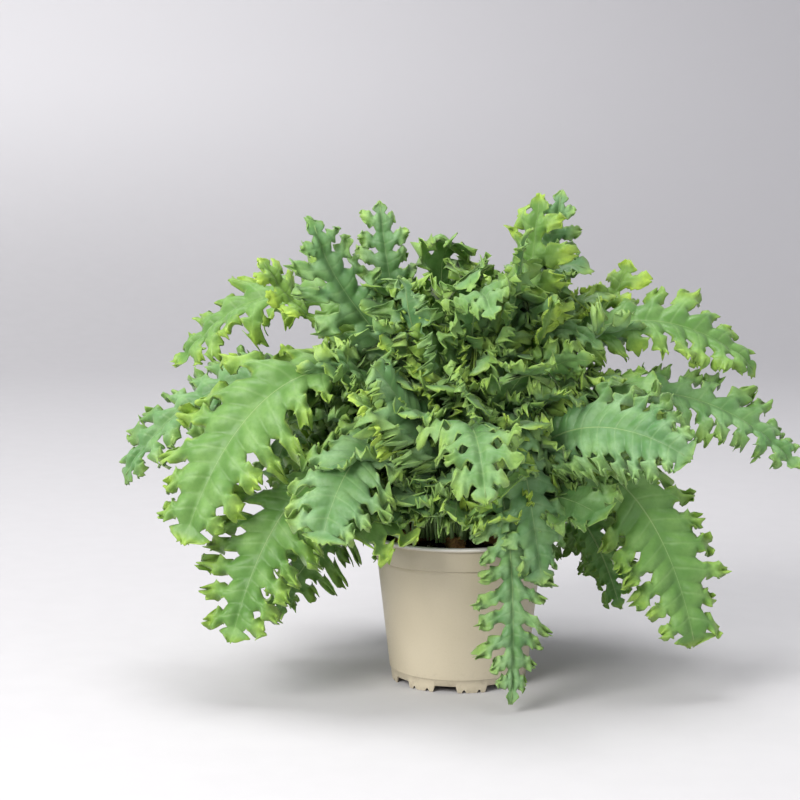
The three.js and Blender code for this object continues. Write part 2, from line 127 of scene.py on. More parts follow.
class Material:
    """A node material under construction."""

    def __init__(self, name):
        self.made = bpy.data.materials.new(name)
        self.made.use_nodes = True
        self.tree = self.made.node_tree
        self.tree.nodes.clear()
        self.output = self.tree.nodes.new("ShaderNodeOutputMaterial")

    def node(self, kind, settings=None, **inputs):
        made = self.tree.nodes.new("ShaderNode" + kind)
        for key, value in (settings or {}).items():
            setattr(made, key, value)
        for key, value in inputs.items():
            self.feed(made.inputs[key.replace("_", " ")], value)
        return made

    def feed(self, socket, value):
        if isinstance(value, bpy.types.NodeSocket):
            self.tree.links.new(value, socket)
        else:
            socket.default_value = value

    def attribute(self, name):
        return self.node("Attribute", {"attribute_name": name}).outputs["Fac"]

    def maths(self, operation, a, b=0.0, clamp=False):
        made = self.node("Math", {"operation": operation, "use_clamp": clamp})
        self.feed(made.inputs[0], a)
        self.feed(made.inputs[1], b)
        return made.outputs[0]

    def ramp(self, value, low, high, to_low=0.0, to_high=1.0):
        """From to_low, where the value is at low or before it, to to_high at high or past it."""
        made = self.node("MapRange", {"interpolation_type": "SMOOTHSTEP"})
        for k, v in enumerate((value, low, high, to_low, to_high)):
            self.feed(made.inputs[k], v)
        return made.outputs[0]

    def mix(self, share, a, b):
        made = self.node("Mix", {"data_type": "RGBA"})
        # A Mix node has its sockets for colours after those for numbers and vectors.
        self.feed(made.inputs[0], share)
        self.feed(made.inputs[6], a)
        self.feed(made.inputs[7], b)
        return made.outputs[2]

    def place(self):
        return self.node("TexCoord").outputs["Object"]

    def noise(self, scale, detail=3.0, rough=0.55):
        made = self.node("TexNoise", None, Vector=self.place(), Scale=scale, Detail=detail, Roughness=rough)
        return made.outputs["Fac"]

    def bump(self, height, strength, distance):
        return self.node("Bump", None, Height=height, Strength=strength, Distance=distance).outputs["Normal"]

    def finish(self, shader):
        self.tree.links.new(shader, self.output.inputs["Surface"])
        return self.made


def frond_material():
    """Reads five values at each point of a leaf: out, from 0 at the midrib to 1 at a lobe's end; vein, from 0
    at a lobe's vein to 1 at its sides; rib, 1 on the stipe and midrib; and its shares of lime and wax."""
    deep_green, fresh_green = (0.085, 0.235, 0.034, 1), (0.175, 0.360, 0.068, 1)
    deep_wax, pale_wax = (0.120, 0.285, 0.130, 1), (0.270, 0.455, 0.255, 1)
    shade_green, speck_green = (0.062, 0.185, 0.040, 1), (0.085, 0.220, 0.038, 1)
    lime_green, backlit_green = (0.450, 0.640, 0.075, 1), (0.45, 0.68, 0.05, 1)
    vein_green, rib_green = (0.430, 0.600, 0.260, 1), (0.400, 0.540, 0.210, 1)
    m = Material("fern_frond")
    out, vein, rib = m.attribute("out"), m.attribute("vein"), m.attribute("rib")
    lime, bloom = m.attribute("lime"), m.attribute("bloom")
    patches = m.noise(55, 3)
    mottle = m.noise(420, 4, 0.6)
    green = m.mix(m.ramp(patches, 0.35, 0.68), deep_green, fresh_green)
    waxy = m.mix(m.ramp(patches, 0.3, 0.7), deep_wax, pale_wax)
    wax_here = m.maths("MULTIPLY", bloom, m.ramp(m.noise(95, 2), 0.25, 0.6, 0.55, 1.0))
    colour = m.mix(wax_here, green, waxy)
    # The middle of a blade is darker than its lobes.
    colour = m.mix(m.ramp(out, 0.62, 0.12, 0.0, 0.42), colour, shade_green)
    # Young tissue is yellower, most at the lobes' margins and ends.
    side_margin = m.maths("MULTIPLY", m.ramp(vein, 0.6, 1.0), m.ramp(out, 0.48, 0.62))
    margin = m.maths("MAXIMUM", m.maths("MULTIPLY", side_margin, 0.8), m.ramp(out, 0.58, 1.02))
    uneven = m.ramp(m.noise(70, 3), 0.32, 0.62, 0.45, 1.0)
    edge_lime = m.maths("MULTIPLY", margin, m.maths("ADD", lime, 0.34))
    all_over, at_edge = m.maths("MULTIPLY", lime, 0.28), m.maths("MULTIPLY", edge_lime, uneven)
    colour = m.mix(m.maths("ADD", all_over, at_edge, clamp=True), colour, lime_green)
    colour = m.mix(m.ramp(mottle, 0.35, 0.75, 0.0, 0.35), colour, speck_green)
    # Pale midrib and lobe veins.
    lobe_vein = m.maths("MULTIPLY", m.ramp(vein, 0.16, 0.0), m.ramp(out, 0.95, 0.2))
    colour = m.mix(m.maths("MULTIPLY", lobe_vein, 0.14), colour, vein_green)
    colour = m.mix(m.maths("MULTIPLY", rib, 0.45), colour, rib_green)
    # Fine relief: mottled skin, sunk lobe veins and thin side veins.
    bands = {"wave_type": "BANDS", "bands_direction": "X"}
    side_veins = m.node("TexWave", bands, Scale=90.0, Distortion=2.5, Detail=2.0).outputs["Fac"]
    height = m.maths("ADD", m.maths("MULTIPLY", mottle, 0.5), m.maths("MULTIPLY", lobe_vein, -0.8))
    height = m.maths("ADD", height, m.maths("MULTIPLY", side_veins, 0.22))
    normal = m.bump(height, 0.35, 0.6 * MM)
    skin = m.node("BsdfPrincipled", None, Roughness=m.ramp(patches, 0.3, 0.7, 0.31, 0.46), Normal=normal)
    m.feed(skin.inputs["Base Color"], colour)
    skin.inputs["Specular IOR Level"].default_value = 0.42
    skin.inputs["Sheen Weight"].default_value = 0.12
    skin.inputs["Sheen Roughness"].default_value = 0.6
    # Some light comes through the blade.
    glow = m.node("BsdfTranslucent", None, Normal=normal)
    m.feed(glow.inputs["Color"], m.mix(0.45, colour, backlit_green))
    both = m.node("MixShader")
    both.inputs[0].default_value = 0.24
    m.feed(both.inputs[1], skin.outputs[0])
    m.feed(both.inputs[2], glow.outputs[0])
    return m.finish(both.outputs[0])


def pot_material():
    """Taupe plastic, with a painted highlight on the top of the rolled lip."""
    dark_taupe, taupe, speck = (0.455, 0.402, 0.292, 1), (0.500, 0.446, 0.332, 1), (0.34, 0.30, 0.215, 1)
    painted_highlight_white, dirt = (0.80, 0.79, 0.77, 1), (0.16, 0.12, 0.08, 1)
    m = Material("pot_plastic")
    grain = m.noise(900, 3)
    cloud = m.noise(14, 2)
    height = m.node("SeparateXYZ", None, Vector=m.place()).outputs["Z"]
    colour = m.mix(m.ramp(cloud, 0.3, 0.7), dark_taupe, taupe)
    colour = m.mix(m.ramp(grain, 0.45, 0.8, 0.0, 0.12), colour, speck)
    # Painted highlight: whitish on the top of the rolled lip, by height.
    colour = m.mix(m.ramp(height, POT_TOP - 2.8 * MM, POT_TOP - 0.8 * MM, 0.0, 0.75), colour, painted_highlight_white)
    # Dust and splashes of soil low down.
    soiled = m.maths("MULTIPLY", m.ramp(height, 20 * MM, 0.0), m.ramp(m.noise(160, 4, 0.7), 0.5, 0.72))
    colour = m.mix(m.maths("MULTIPLY", soiled, 0.35), colour, dirt)
    skin = m.node("BsdfPrincipled", None, Roughness=m.ramp(grain, 0.3, 0.7, 0.38, 0.5))
    m.feed(skin.inputs["Base Color"], colour)
    m.feed(skin.inputs["Normal"], m.bump(grain, 0.12, 0.3 * MM))
    return m.finish(skin.outputs[0])



def soil_material():
    m = Material("soil")
    clump = m.noise(170, 5, 0.65)
    crumb = m.noise(900, 4, 0.7)
    colour = m.mix(m.ramp(clump, 0.35, 0.7), (0.012, 0.007, 0.005, 1), (0.060, 0.026, 0.018, 1))
    colour = m.mix(m.ramp(crumb, 0.58, 0.8, 0.0, 0.55), colour, (0.13, 0.060, 0.040, 1))
    skin = m.node("BsdfPrincipled", None, Roughness=0.9)
    m.feed(skin.inputs["Base Color"], colour)
    m.feed(skin.inputs["Normal"], m.bump(crumb, 0.9, 0.0012))
    return m.finish(skin.outputs[0])


def perlite_material():
    m = Material("perlite")
    grain = m.noise(1500, 4)
    skin = m.node("BsdfPrincipled", None, Roughness=0.85)
    colour = m.mix(m.ramp(grain, 0.3, 0.7), (0.42, 0.38, 0.32, 1), (0.66, 0.63, 0.58, 1))
    m.feed(skin.inputs["Base Color"], colour)
    m.feed(skin.inputs["Normal"], m.bump(grain, 0.7, 0.0006))
    return m.finish(skin.outputs[0])


def rhizome_material():
    m = Material("rhizome_scales")
    streak = m.noise(260, 4, 0.6)
    fine = m.noise(1400, 3)
    colour = m.mix(m.ramp(streak, 0.3, 0.7), (0.150, 0.065, 0.018, 1), (0.420, 0.235, 0.075, 1))
    colour = m.mix(m.ramp(fine, 0.5, 0.8, 0.0, 0.5), colour, (0.62, 0.42, 0.18, 1))
    skin = m.node("BsdfPrincipled", None, Roughness=0.75)
    m.feed(skin.inputs["Base Color"], colour)
    m.feed(skin.inputs["Normal"], m.bump(fine, 0.8, 0.0008))
    return m.finish(skin.outputs[0])


def backdrop_material():
    """Pale paper with painted light and shade: coloured lighter on the wall, with painted shade to the right,
    most on the wall.
    """
    floor_paper, worn_paper = (0.535, 0.527, 0.540, 1), (0.545, 0.537, 0.550, 1)
    painted_light_wall_paper, shaded_paper = (0.820, 0.810, 0.828, 1), (0.455, 0.450, 0.470, 1)
    m = Material("backdrop_paper")
    fine = m.noise(40, 2)
    place = m.node("SeparateXYZ", None, Vector=m.place())
    paper = m.mix(m.ramp(fine, 0.3, 0.7), floor_paper, worn_paper)
    shade = m.ramp(place.outputs["X"], -1.2, 1.2)
    on_wall = m.ramp(place.outputs["Y"], -0.2, 3.0, 0.2, 1.0)
    # Painted light: the wall and the bend up to it are coloured lighter than the floor.
    paper = m.mix(m.ramp(place.outputs["Z"], 0.0, 0.5), paper, painted_light_wall_paper)
    # Painted shade: darker to the right, most on the wall.
    colour = m.mix(m.maths("MULTIPLY", shade, on_wall), paper, shaded_paper)
    skin = m.node("BsdfPrincipled", None, Roughness=0.9)
    m.feed(skin.inputs["Base Color"], colour)
    return m.finish(skin.outputs[0])


# ---- Meshes -----------------------------------------------------------------------------------------------


def piece(name, points, faces, material, slot, replaces=None, layers=None, uv=None, flat=False):
    """A mesh object that rides on the plant's one body."""
    mesh = bpy.data.meshes.new(name)
    mesh.from_pydata(points, [], faces)
    for key, values in (layers or {}).items():
        mesh.attributes.new(key, "FLOAT", "POINT").data.foreach_set("value", np.asarray(values, np.float32))
    if uv is not None:
        mesh.uv_layers.new(name="OFBake").data.foreach_set("uv", np.asarray(uv, np.float32).ravel())
    mesh.polygons.foreach_set("use_smooth", [not flat] * len(mesh.polygons))
    mesh.materials.append(material)
    mesh.update()
    made = bpy.data.objects.new(name, mesh)
    scene.collection.objects.link(made)
    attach(made, "root")
    if replaces:
        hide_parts(replaces)
    return made


def cad_mesh(node):
    """A copy of a CAD node's mesh, with its corners joined."""
    work = bmesh.new()
    work.from_mesh(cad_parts[node].data)
    bmesh.ops.remove_doubles(work, verts=work.verts, dist=0.01 * MM)
    return work


def rings_of(node):
    """The rings of a frond's CAD solid from its foot upward, each as its top, right, bottom and left point,
    and its apex."""
    work = cad_mesh(node)
    work.verts.ensure_lookup_table()
    work.verts.index_update()
    near = [{e.other_vert(v).index for e in v.link_edges} for v in work.verts]
    co = [np.array(v.co) for v in work.verts]
    work.free()
    # Only the right and left points of the foot have three neighbours, and its other two points meet both.
    right, left = [i for i, n in enumerate(near) if len(n) == 3]
    top, bottom = near[right] & near[left]
    rings = [[top, right, bottom, left]]
    seen = set(rings[0])
    while True:
        ahead = set().union(*(near[i] for i in rings[-1])) - seen
        if len(ahead) < 4:
            break
        seen |= ahead
        last = rings[-1]
        # A top or bottom point meets one point of the ring before, and a right or left point meets three.
        poles = [i for i in ahead if len(near[i] & set(last)) == 1]
        edges = [i for i in ahead if i not in poles]
        new_top = next(i for i in poles if last[0] in near[i])
        new_bottom = next(i for i in poles if i != new_top)
        new_right = next(i for i in edges if last[1] in near[i])
        new_left = next(i for i in edges if i != new_right)
        rings.append([new_top, new_right, new_bottom, new_left])
    apex = co[next(iter(ahead))]
    rings = np.array([[co[i] for i in ring] for ring in rings])
    # The edges hang below the midrib, which tells the upper side of the blade from the lower one.
    spine = (rings[:, 0] + rings[:, 2]) / 2
    hang = (rings[:, 1] + rings[:, 3]) / 2 - spine
    if (hang * (rings[:, 0] - rings[:, 2])).sum() > 0:
        rings = rings[:, [2, 3, 0, 1]]
    return rings, apex


class Spine:
    """A frond's midrib: places and directions at any distance along it."""

    SAMPLES = 260

    def __init__(self, rings, apex):
        centre = np.vstack([(rings[:, 0] + rings[:, 2]) / 2, apex])
        step = np.linalg.norm(np.diff(centre, axis=0), axis=1)
        self.knots = np.concatenate([[0], np.cumsum(step)])
        self.length = self.knots[-1]
        # A cubic Hermite curve through the middles of the rings.
        slope = np.gradient(centre, self.knots, axis=0)
        self.x = np.linspace(0, self.length, self.SAMPLES)
        i = np.clip(np.searchsorted(self.knots, self.x, side="right") - 1, 0, len(step) - 1)
        h = step[i][:, None]
        t = ((self.x - self.knots[i]) / step[i])[:, None]
        self.place = (
            (2 * t**3 - 3 * t**2 + 1) * centre[i]
            + (t**3 - 2 * t**2 + t) * h * slope[i]
            + (3 * t**2 - 2 * t**3) * centre[i + 1]
            + (t**3 - t**2) * h * slope[i + 1]
        )
        along = np.gradient(self.place, self.x, axis=0)
        self.along = along / np.linalg.norm(along, axis=1)[:, None]
        up = rings[:, 0] - rings[:, 2]
        up = np.vstack([up, up[-1:]])
        up = np.stack([np.interp(self.x, self.knots, up[:, k]) for k in range(3)], 1)
        up -= self.along * (up * self.along).sum(1)[:, None]
        self.up = up / np.linalg.norm(up, axis=1)[:, None]
        self.side = np.cross(self.up, self.along)

    def at(self, x, y, z):
        """Points at distance x along the midrib, y to its left and z above the blade."""
        x, y, z = np.broadcast_arrays(x, y, z)

        def pick(samples):
            return np.stack([np.interp(x, self.x, samples[:, k]) for k in range(3)], -1)

        past_end = (np.maximum(x - self.length, 0) + np.minimum(x, 0))[..., None]
        on_midrib = pick(self.place) + past_end * pick(self.along)
        return on_midrib + y[..., None] * pick(self.side) + z[..., None] * pick(self.up)


class Sheet:
    """Vertices and faces of a blade before it gets its thickness, with a map cell for each patch."""

    def __init__(self):
        self.points, self.layers, self.index, self.faces, self.cells = [], [], {}, [], []

    def patch(self, keys, points, out, vein):
        """Adds a grid of points. Those that keys gives the same name to in two patches are one point."""
        rows, columns = out.shape
        ids = np.empty((rows, columns), int)
        for r in range(rows):
            for c in range(columns):
                key = keys(r, c)
                if key is not None and key in self.index:
                    ids[r, c] = self.index[key]
                    continue
                if key is not None:
                    self.index[key] = len(self.points)
                ids[r, c] = len(self.points)
                self.points.append(points[r, c])
                self.layers.append((out[r, c], vein[r, c]))
        return ids

    def fill(self, ids, flip, cell):
        """Adds the faces of a grid."""
        rows, columns = ids.shape
        for r in range(rows - 1):
            for c in range(columns - 1):
                quad = [(r, c), (r + 1, c), (r + 1, c + 1), (r, c + 1)]
                quad = quad[::-1] if flip else quad
                self.faces.append([ids[q] for q in quad])
                self.cells.append([(cell, q[0] / (rows - 1), q[1] / (columns - 1)) for q in quad])


BLADE, SMALL_BLADE = 0.42 * MM, 0.36 * MM  # thickness
STIPE, YOUNG_STIPE, SMALL_STIPE = 1.05 * MM, 0.6 * MM, 0.55 * MM  # radius

# How a kind of frond looks: its shares of waxy blue and of lime, the ruffle and curl of its lobes, the share
# of the half-width that is joined to the midrib, how far lobes sweep to the tip, and how much they widen.
USUAL = {"bloom": 0.55, "lime": 0.12, "ruffle": 0.17, "curl": 0.95, "joined": 0.30, "sweep": 0.44}
USUAL["flare"] = 0.24
LOOKS = {
    "frond_right_far": {"bloom": 0.55, "lime": 0.10},
    "frond_right_upper": {"bloom": 0.25, "lime": 0.30, "ruffle": 0.12, "joined": 0.38},
    "frond_right_level": {"bloom": 0.72, "lime": 0.06, "joined": 0.46, "curl": 1.0},
    "frond_right_low": {"bloom": 0.15, "lime": 0.24, "joined": 0.50, "curl": 0.8},
    "frond_right_under": {"bloom": 0.05, "lime": 0.75},
    "frond_front_broad": {"bloom": 0.70, "lime": 0.12, "joined": 0.52, "curl": 0.8},
    "frond_front_young": {"bloom": 0.10, "lime": 0.85, "joined": 0.38, "curl": 0.8},
    "frond_front_hanging": {"bloom": 0.75, "lime": 0.12, "joined": 0.42},
    "frond_trailing": {"bloom": 0.75, "lime": 0.14, "joined": 0.24, "curl": 1.0},
    "frond_left_hanging": {"bloom": 0.85, "lime": 0.26, "joined": 0.48, "curl": 0.8},
    "frond_left_bright": {"bloom": 0.25, "lime": 0.40, "joined": 0.42, "curl": 0.95, "ruffle": 0.18},
    "frond_left_upper": {"bloom": 0.2, "lime": 0.38},
    "frond_left_low": {"bloom": 0.15, "lime": 0.26, "joined": 0.36, "curl": 0.9},
    "frond_crest_left": {"bloom": 0.85, "lime": 0.20, "ruffle": 0.18, "curl": 1.2},
    "frond_crest_middle": {"bloom": 0.15, "lime": 0.50, "joined": 0.28},
    "frond_crest_right": {"bloom": 0.85, "lime": 0.16, "ruffle": 0.18, "curl": 1.2},
    "young": {"bloom": 0.0, "lime": 0.95, "joined": 0.30, "ruffle": 0.05, "curl": 0.3},
}


def look_of(name):
    """The usual look, varied by the frond's name, with what its kind has of its own."""
    rng = seeded(name + "look")
    look = dict(USUAL)
    look["bloom"] = float(np.clip(look["bloom"] + rng.uniform(-0.5, 0.4), 0, 1))
    look["lime"] = float(rng.choice([0.05, 0.12, 0.22, 0.36, 0.6], p=[0.25, 0.3, 0.2, 0.15, 0.1]))
    look["ruffle"] += rng.uniform(-0.02, 0.06)
    look["curl"] += rng.uniform(-0.1, 0.3)
    look["flare"] += rng.uniform(-0.05, 0.25)
    if name.startswith("small"):
        look["lime"] = min(look["lime"] + 0.12, 0.8)
        look["flare"] += 0.25
        look["curl"] -= 0.25
        look["joined"] = 0.40
        look["bloom"] = min(look["bloom"] + 0.15, 1.0)
    for prefix, own in LOOKS.items():
        if name.startswith(prefix):
            look.update(own)
    return look


# What is drawn for each lobe, from 0 to 1.
LOBE_DRAWS = (
    "size fingers shift teeth waist flare blunt notch_low notch_high curl twist waves low high folds turn"
).split()


def lobe_width(draw, q, edge, first_half, own, flare):
    """Width of a lobe against its pitch: narrow at first, then wide and round at the end, with side teeth."""
    waist = 1 - (0.38 + 0.10 * draw["waist"]) * smooth(0, 0.16, q)
    width = waist + (0.02 + flare * draw["flare"]) * smooth(0.12, 0.6, q)
    past = (q - 0.6) / (0.41 + 0.03 * draw["blunt"])
    width = width * np.sqrt(np.clip(1 - past**2 * (q > 0.6), 0.05, 1))
    teeth = 1.2 + 1.8 * draw["teeth"] + own / (22 * MM)
    tooth = scallop(q * teeth + np.where(first_half, draw["notch_low"], draw["notch_high"])) - 0.5
    return width + 0.24 * smooth(0.12, 0.34, q) * tooth * edge**2


def lobe_curl(bend, far, q):
    """Reach and rise of a lobe that bends into an arc, for its length measured along it."""
    bend = bend + 1e-3 if abs(bend) < 1e-3 else bend
    reach, rise = np.sin(bend * far) / bend, (1 - np.cos(bend * far)) / bend
    return np.where(q > 0, reach, 0), np.where(q > 0, rise, 0)


def lobe_frill(draw, q, t, edge, end, first_half):
    """Waves of a lobe's margin, along its two sides and across its end."""
    start = np.where(first_half, draw["low"], draw["high"])
    sides = np.sin(2 * math.pi * (q * (1.3 + 1.1 * draw["waves"]) + start)) * edge**1.4
    return sides + 0.7 * end * np.sin(2 * math.pi * (t * (1.2 + draw["folds"]) + draw["turn"]))


def leaf_sheet(spine, bounds, half, look, rng, detail):
    """A lobed blade on a midrib. Lobe j reaches from bounds[j] to bounds[j + 1] along the midrib, and half[j]
    is how far it reaches to the left and to the right. Detail is a lobe's rows in its joined part and past it,
    and its columns."""
    inner, outer, columns = detail
    count, mean = len(half), half.mean()
    sheet = Sheet()
    phase, swell = rng.uniform(0, 6.28, 2), rng.uniform(0.08, 0.15)
    joined = look["joined"]
    # How far from the midrib each gap between lobes ends, left and right.
    sinus = np.empty((2, count + 1))
    for k in range(2):
        between = (half[1:, k] + half[:-1, k]) / 2
        ends = np.concatenate([[half[0, k] * 0.8], between, [half[-1, k] * 0.8]])
        sinus[k] = ends * joined * rng.uniform(0.78, 1.22, count + 1)

    def common(x, y, k):
        """Height of the whole blade: a shallow groove at the midrib, a droop to each side and long waves."""
        a = np.abs(y) / mean
        wave = np.sin(x / mean * 2.3 + phase[k]) * swell
        return mean * (-0.12 * a**2 + 0.04 * (1 - np.exp(-((a / 0.1) ** 2))) + wave * a)

    # s runs from the midrib (0) by the end of the joined part (1) to the lobe's end (2), t across the lobe,
    # q along its free part, and edge from its vein to its sides.
    rows = np.concatenate([np.linspace(0, 1, inner + 1), np.linspace(1, 2, outer + 1)[1:]])
    s, t = np.meshgrid(rows, np.linspace(0, 1, columns + 1), indexing="ij")
    q = np.clip(s - 1, 0, 1)
    edge = np.abs(2 * t - 1)
    first_half = t < 0.5
    end = smooth(0.5, 1, q)
    cell = 0
    for j in range(count):
        pitch = bounds[j + 1] - bounds[j]
        for k, sign in enumerate((1, -1)):
            draw = dict(zip(LOBE_DRAWS, rng.uniform(0, 1, len(LOBE_DRAWS))))
            own = half[j, k] * (0.80 + 0.34 * draw["size"])
            middle = joined * own * 0.9
            root = middle + (np.where(first_half, sinus[k][j], sinus[k][j + 1]) - middle) * edge**2
            free = own - root
            fingers = scallop(t * (1.3 + 1.9 * draw["fingers"]) + draw["shift"]) - 0.62
            far = q * (1 + 0.06 * (1 - edge**2)) + 0.17 * end * fingers
            aside = (t - 0.5) * pitch * lobe_width(draw, q, edge, first_half, own, look["flare"])
            # Out of the plane, the lobe curls along its length, twists about its vein and is frilled.
            reach, rise = lobe_curl(look["curl"] * (1.9 * draw["curl"] - 1.15), far, q)
            twist = look["curl"] * (1.5 * draw["twist"] - 0.75) * smooth(0, 1, q)
            quilt = 0.16 * (1 - edge**2) + 0.02 * scallop(2 * t)
            quilt = pitch * quilt * smooth(0.05, 0.7, s) * (1 - 0.6 * end)
            y = np.minimum(s, 1) * root + free * reach
            lean = look["sweep"] * y + free * q * (0.5 * draw["shift"] - 0.25)
            x = (bounds[j] + bounds[j + 1]) / 2 + aside * np.cos(twist) + lean
            z = common(x, y, k) + free * rise + aside * np.sin(twist) + quilt
            frill = lobe_frill(draw, q, t, edge, end, first_half)
            z = z + own * look["ruffle"] * smooth(0, 0.35, q) * frill

            def keys(row, column, j=j, k=k):
                """Lobes share points at the midrib, and with their neighbours up to the gap between them."""
                if row == 0:
                    return ("rib", j + 1, 0) if column == columns else ("rib", j, column)
                if row <= inner and column in (0, columns):
                    return ("gap", k, j + (column > 0), row)
                return None

            ids = sheet.patch(keys, spine.at(x, sign * y, z), s / 2, edge)
            sheet.fill(ids, sign > 0, cell)
            cell += 1

    # The lobe at the frond's end: v runs to its tip and u across it.
    v, u = np.meshgrid(np.linspace(0, 1, outer + 1), np.linspace(-1, 1, 2 * inner + 1), indexing="ij")
    base = np.abs(u) * np.where(u > 0, sinus[0][-1], sinus[1][-1])
    tooth_start, tip_start, wave_start, droop = rng.uniform(0, 1, 4)
    grow = 1 + 0.9 * np.sin(math.pi * np.clip(v / 0.85, 0, 1)) - 0.45 * smooth(0.6, 1, v)
    reach = max(spine.length - bounds[-1], mean * 0.35)
    y = np.sign(u) * base * (grow + 0.5 * v * (scallop(v * 2.6 + tooth_start) - 0.5) * u**2)
    x = bounds[-1] + look["sweep"] * base * (1 - v) + v * reach * (1.0 + 0.12 * (1 - u**2))
    x = x + reach * 0.20 * smooth(0.6, 1, v) * (scallop(u * 1.5 + tip_start) - 0.5)
    wave = 0.12 * np.sin(2 * math.pi * (u + wave_start)) * np.abs(u)
    z = np.where(u > 0, common(x, y, 0), common(x, y, 1)) + mean * v * wave
    z = z + mean * (0.5 * droop - 0.35) * v**2

    def tail_keys(row, column):
        if row:
            return None
        if column == inner:
            return ("rib", count, 0)
        return ("gap", 0, count, column - inner) if column > inner else ("gap", 1, count, inner - column)

    ids = sheet.patch(tail_keys, spine.at(x, y, z), 0.35 + 0.65 * v, np.abs(u))
    sheet.fill(ids, False, cell)
    return sheet, cell + 1


def frond(node):
    """A frond on the midrib of its CAD solid, with a pair of lobes for each pair of the solid's."""
    rings, apex = rings_of(node)
    spine = Spine(rings, apex)
    widths = np.linalg.norm(rings[:, 1] - rings[:, 3], axis=1) / 2
    # The widest rings are the tips of the CAD lobes, and the narrow ones between them are the gaps.
    tips = [i for i in range(1, len(widths) - 1) if widths[i] > widths[i - 1] and widths[i] > widths[i + 1]]
    if widths[-1] > widths[-2]:
        tips.append(len(widths) - 1)
    knots = spine.knots
    bounds = [knots[i - 1] for i in tips] + [2 * knots[tips[-1]] - knots[tips[-1] - 1]]
    half = []
    for i in tips:
        centre = (rings[i, 0] + rings[i, 2]) / 2
        side = spine.side[int(np.argmin(np.abs(spine.x - knots[i])))]
        half.append([abs((rings[i, 3] - centre) @ side), abs((rings[i, 1] - centre) @ side)])
    look, young = look_of(node), node.startswith("young")
    sheet, cells = leaf_sheet(spine, bounds, np.array(half), look, seeded(node), (4, 12, 14))
    leaf = thicken(sheet, cells, BLADE)
    leaf = with_midrib(leaf, cells, spine, bounds[0], YOUNG_STIPE if young else STIPE, look, 44)
    return piece(node + "_leaf", *leaf[:2], FROND, "young_frond" if young else "frond", node, *leaf[2:])


def small_frond(name, seat, tip, width, pairs, bare, roll):
    """A small frond that grows from the rhizome. Bare is the share of its length without blade."""
    seat, tip = np.array(seat), np.array(tip)
    rng = seeded(name)
    across = tip - seat
    flat = np.array([across[0], across[1], 0]) / max(np.hypot(across[0], across[1]), 1e-6)
    length = np.linalg.norm(across)
    upright = np.array([0, 0, 1.0])
    # The midrib is a Bezier curve that rises steeply and then arches outward.
    one = seat + upright * length * 0.42 + flat * length * 0.05
    two = tip - flat * length * rng.uniform(0.18, 0.34) + upright * length * rng.uniform(0.02, 0.22)
    t = np.linspace(0, 1, 14)[:, None]
    curve = (1 - t) ** 3 * seat + 3 * (1 - t) ** 2 * t * one + 3 * (1 - t) * t**2 * two + t**3 * tip
    along = np.gradient(curve, axis=0)
    along /= np.linalg.norm(along, axis=1)[:, None]
    side = np.cross(along, flat + upright * 0.6)
    side /= np.linalg.norm(side, axis=1)[:, None]
    up = np.cross(side, along) * -1
    up = (up * math.cos(roll) + side * math.sin(roll)) * 0.1 * MM
    rings = np.stack([curve + up, curve, curve - up, curve], 1)
    spine = Spine(rings[:-1], curve[-1])
    bounds = np.linspace(bare * spine.length, 0.93 * spine.length, pairs + 1)
    shape = np.sin(math.pi * (np.arange(pairs) + 0.9) / (pairs + 0.9)) ** 0.6
    half = np.stack([shape * width * rng.uniform(0.85, 1.1), shape * width * rng.uniform(0.85, 1.1)], 1)
    look = look_of(name)
    sheet, cells = leaf_sheet(spine, bounds, half, look, rng, (2, 8, 9))
    leaf = thicken(sheet, cells, SMALL_BLADE)
    return with_midrib(leaf, cells, spine, bounds[0], SMALL_STIPE, look, 26)


def thicken(sheet, cells, thickness):
    """A sheet's upper side, underside and rim: points, faces, layers, and each face corner's place in the
    map."""
    flat = np.array(sheet.points)
    faces = np.array(sheet.faces)
    normal = np.zeros_like(flat)
    cross = np.cross(flat[faces[:, 2]] - flat[faces[:, 0]], flat[faces[:, 3]] - flat[faces[:, 1]])
    for k in range(4):
        np.add.at(normal, faces[:, k], cross)
    normal /= np.maximum(np.linalg.norm(normal, axis=1), 1e-12)[:, None]
    n = len(flat)
    points = np.vstack([flat + normal * thickness / 2, flat - normal * thickness / 2])
    all_faces = faces.tolist() + (faces[:, ::-1] + n).tolist()
    maps = [(c, a, b) for quad in sheet.cells for c, a, b in quad]
    maps += [(c + cells, a, b) for quad in sheet.cells for c, a, b in quad[::-1]]
    open_edges = {}
    for quad, cell in zip(sheet.faces, sheet.cells):
        for k in range(4):
            a, b = quad[k], quad[(k + 1) % 4]
            if open_edges.pop((b, a), None) is None:
                open_edges[(a, b)] = (cell[k], cell[(k + 1) % 4])
    for (a, b), (at_a, at_b) in open_edges.items():
        all_faces.append([b, a, a + n, b + n])
        maps += [at_b, at_a, at_a, at_b]
    return points, all_faces, np.vstack([sheet.layers, sheet.layers]), maps


